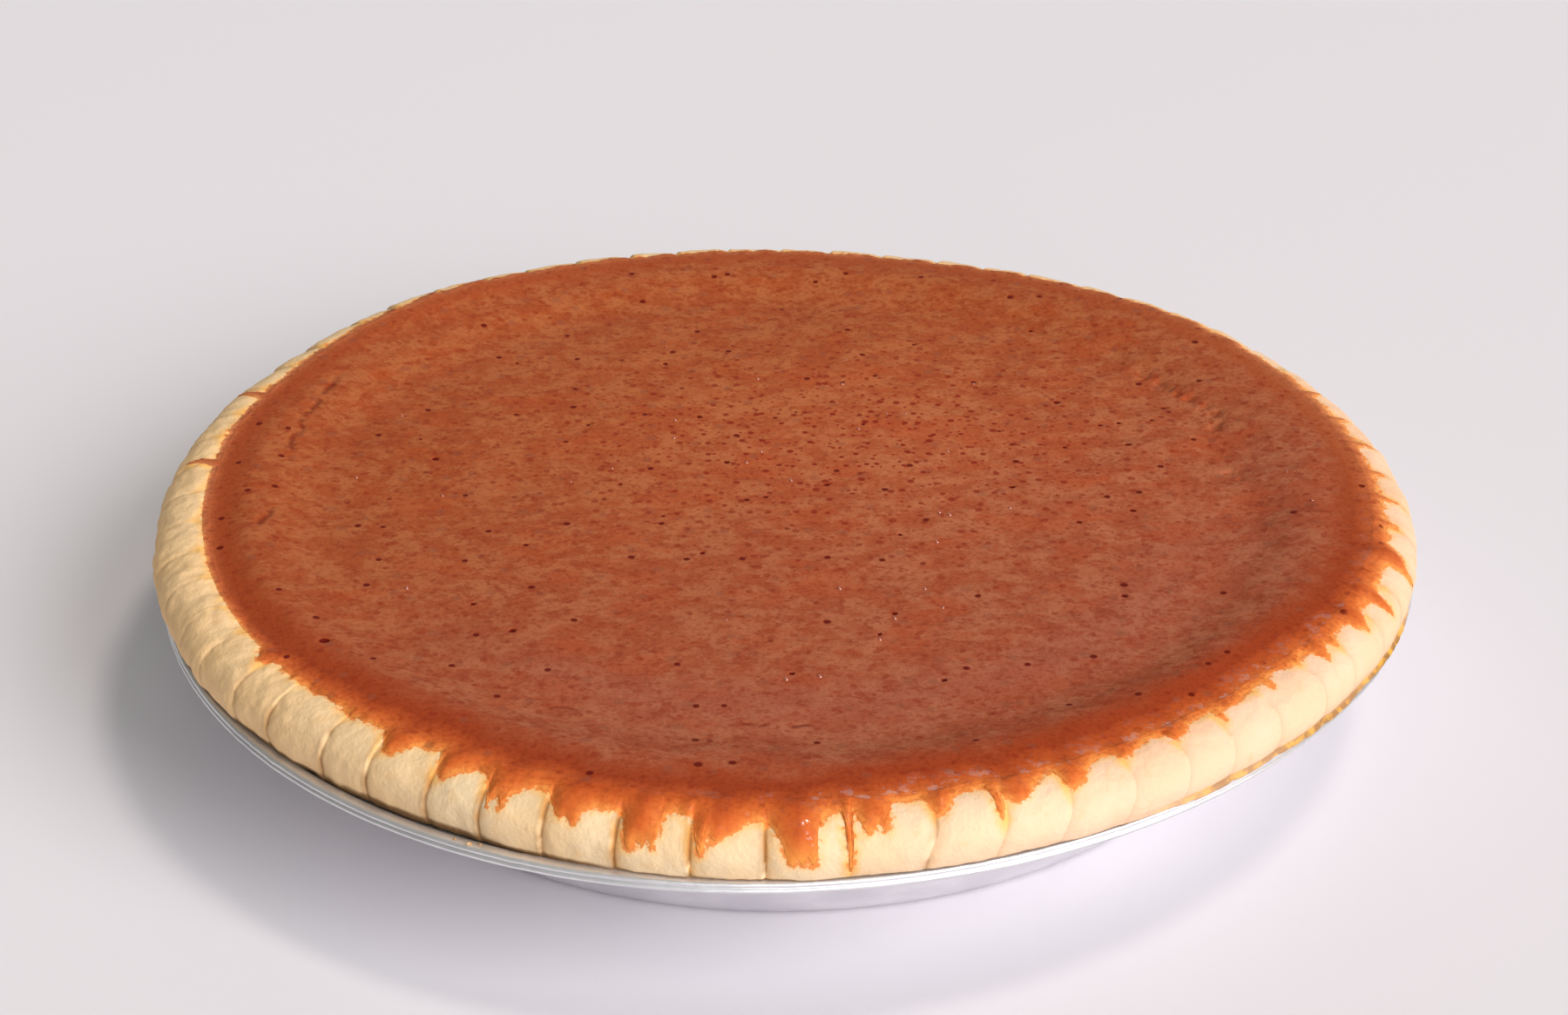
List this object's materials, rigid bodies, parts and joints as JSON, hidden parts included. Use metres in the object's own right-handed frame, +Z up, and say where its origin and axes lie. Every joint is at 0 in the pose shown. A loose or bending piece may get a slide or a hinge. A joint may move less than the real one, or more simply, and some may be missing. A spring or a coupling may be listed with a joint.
{
  "type": "egg pie",
  "caption": "Round custard pie: a sunken red-brown baked filling that ran in drips over a pale fluted crust, in its own shallow foil tin with a rolled rim.",
  "frame": {"origin": "centre of the tin's flat base, on the surface that the pie stands on", "axes": "+Z up, out of the base; -Y towards the side the picture was taken from; +X to the right of that view"},
  "size_m": [0.2481, 0.2468, 0.0424],
  "materials": {
    "foil": "bright pressed foil, lightly wrinkled",
    "baked_crust": "matt pale baked shortcrust, cream with tan patches",
    "custard": "satin baked custard, red-brown, with small bubbles"
  },
  "bodies": {
    "root": {"tin": "foil", "crust": "baked_crust", "filling": "custard"}
  },
  "joints": []
}
